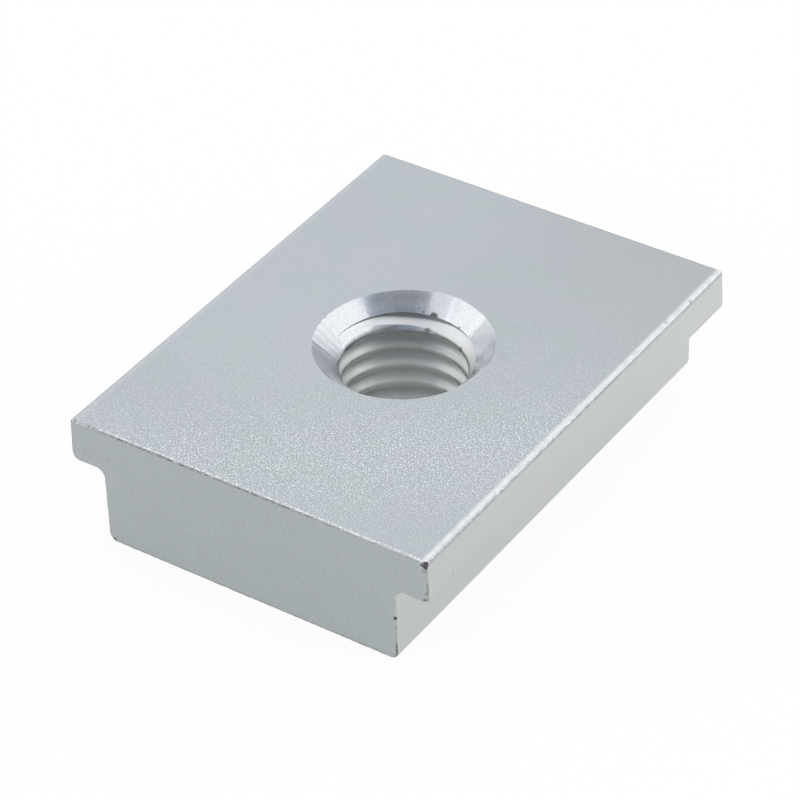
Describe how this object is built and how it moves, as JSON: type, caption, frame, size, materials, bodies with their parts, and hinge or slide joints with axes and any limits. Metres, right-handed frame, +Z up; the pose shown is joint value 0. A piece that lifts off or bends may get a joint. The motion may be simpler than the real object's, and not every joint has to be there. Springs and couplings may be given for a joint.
{
  "type": "t-track slider",
  "caption": "Aluminium slider of T section, with a wide flange, a narrower neck and a countersunk threaded through hole, for a T-slot track.",
  "frame": {"origin": "where the axis of the threaded hole meets the flat resting face of the neck, which is the middle of the part's underside", "axes": "+X across the section, +Y along the extrusion, which is the way it slides in a track, +Z up along the threaded hole, from the neck to the flange"},
  "size_m": [0.023, 0.03, 0.0074],
  "materials": {
    "satin_aluminium": "bead-blasted and clear anodised, satin silver, with a bare machined countersink and thread"
  },
  "bodies": {
    "root": {"slider": "satin_aluminium"}
  },
  "joints": []
}
